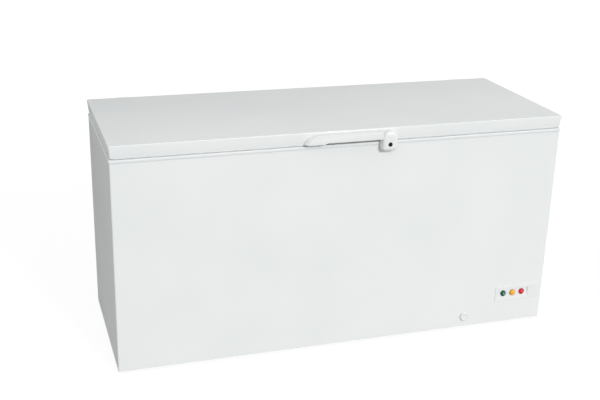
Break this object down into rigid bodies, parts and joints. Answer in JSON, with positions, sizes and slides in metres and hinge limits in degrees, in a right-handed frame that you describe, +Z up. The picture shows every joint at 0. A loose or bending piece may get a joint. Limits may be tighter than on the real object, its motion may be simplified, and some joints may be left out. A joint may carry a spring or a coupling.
{
  "type": "chest freezer",
  "caption": "Large white chest freezer: long insulated steel cabinet, hinged lid with a pull handle and key lock, hanging basket, front drain and a small panel of lamps.",
  "frame": {"origin": "on the floor, under the middle of the overall box", "axes": "+Z up; the front, with the handle, faces -Y; +X is the right-hand end as seen from the front, where the compressor room is"},
  "size_m": [1.716, 0.675, 0.86],
  "materials": {
    "white_steel": "gloss",
    "white_plastic": "gloss",
    "rim_plastic": "satin",
    "galvanised_steel": "satin",
    "zinc_steel": "satin",
    "aluminium_liner": "satin",
    "aluminium_tube": "satin",
    "foam": "matte",
    "copper": "satin",
    "black_steel": "gloss",
    "black_plastic": "matte",
    "black_rubber": "matte",
    "gasket_rubber": "matte",
    "grey_rubber": "matte",
    "circuit_board": "matte",
    "green_lens": "gloss",
    "orange_lens": "gloss",
    "red_lens": "gloss",
    "lock_black": "satin",
    "basket_wire": "satin"
  },
  "bodies": {
    "cabinet": {"outer_wrap": "white_steel", "rear_panel": "galvanised_steel", "bottom_pan": "galvanised_steel", "cabinet_foam": "foam", "inner_liner": "aluminium_liner", "top_rim": "rim_plastic", "room_partition": "galvanised_steel", "evaporator_tube": "aluminium_tube", "condenser_tube": "copper", "base_rails": "galvanised_steel", "feet": "black_plastic", "foot_screws": "zinc_steel", "compressor_plate": "galvanised_steel", "compressor": "black_steel", "compressor_grommets": "black_rubber", "compressor_bolts": "zinc_steel", "terminal_cover": "black_plastic", "filter_drier": "copper", "discharge_pipe": "copper", "suction_pipe": "copper", "side_grille": "white_plastic", "rear_cover": "galvanised_steel", "rear_cover_screws": "zinc_steel", "cord_gland": "black_rubber", "control_panel": "white_plastic", "green_lamp": "green_lens", "red_lamp": "red_lens", "lamp_module": "circuit_board", "thermostat": "galvanised_steel", "drain_tube": "white_plastic", "hinge_bracket_left": "zinc_steel", "hinge_bracket_right": "zinc_steel", "hinge_pin_left": "zinc_steel", "hinge_pin_right": "zinc_steel", "hinge_spring_left": "zinc_steel", "hinge_spring_right": "zinc_steel", "bracket_screws": "zinc_steel", "lock_strike": "zinc_steel", "strike_screws": "zinc_steel"},
    "lid": {"lid_skin": "white_steel", "lid_foam": "foam", "lid_liner": "white_plastic", "lid_gasket": "gasket_rubber", "hinge_leaf_left": "zinc_steel", "hinge_leaf_right": "zinc_steel", "hinge_cover_left": "white_plastic", "hinge_cover_right": "white_plastic", "leaf_screws": "zinc_steel", "handle": "white_plastic", "handle_screws": "zinc_steel", "lock_housing": "white_plastic"},
    "lock": {"lock_cylinder": "lock_black", "lock_cam": "zinc_steel"},
    "basket": {"wire_basket": "basket_wire"},
    "drain_cap": {"drain_cap": "white_plastic"},
    "drain_stopper": {"drain_stopper": "grey_rubber"},
    "thermostat_dial": {"thermostat_knob": "white_plastic"},
    "super_freeze": {"super_freeze_button": "orange_lens"}
  },
  "joints": [
    {"name": "lid_hinge", "type": "hinge", "parent": "cabinet", "child": "lid", "pos_m": [0, 0.3305, 0.812], "axis": [-1, 0, 0], "range_deg": [0, 85]},
    {"name": "lock_turn", "type": "hinge", "parent": "lid", "child": "lock", "pos_m": [0.1415, -0.3275, 0.805], "axis": [0, -1, 0], "range_deg": [0, 90]},
    {"name": "basket_slide", "type": "slide", "parent": "cabinet", "child": "basket", "axis": [1, 0, 0], "range_m": [-1.3, 0]},
    {"name": "drain_cap_pull", "type": "slide", "parent": "cabinet", "child": "drain_cap", "axis": [0, -1, 0], "range_m": [0, 0.03]},
    {"name": "drain_stopper_pull", "type": "slide", "parent": "cabinet", "child": "drain_stopper", "axis": [0, 0, 1], "range_m": [0, 0.03]},
    {"name": "thermostat_turn", "type": "hinge", "parent": "cabinet", "child": "thermostat_dial", "pos_m": [0.8507, -0.16, 0.16], "axis": [1, 0, 0], "range_deg": [0, 270]},
    {"name": "super_freeze_press", "type": "slide", "parent": "cabinet", "child": "super_freeze", "axis": [0, 0.9908, -0.1351], "range_m": [0, 0.0025], "stiffness_N_per_m": 400}
  ]
}
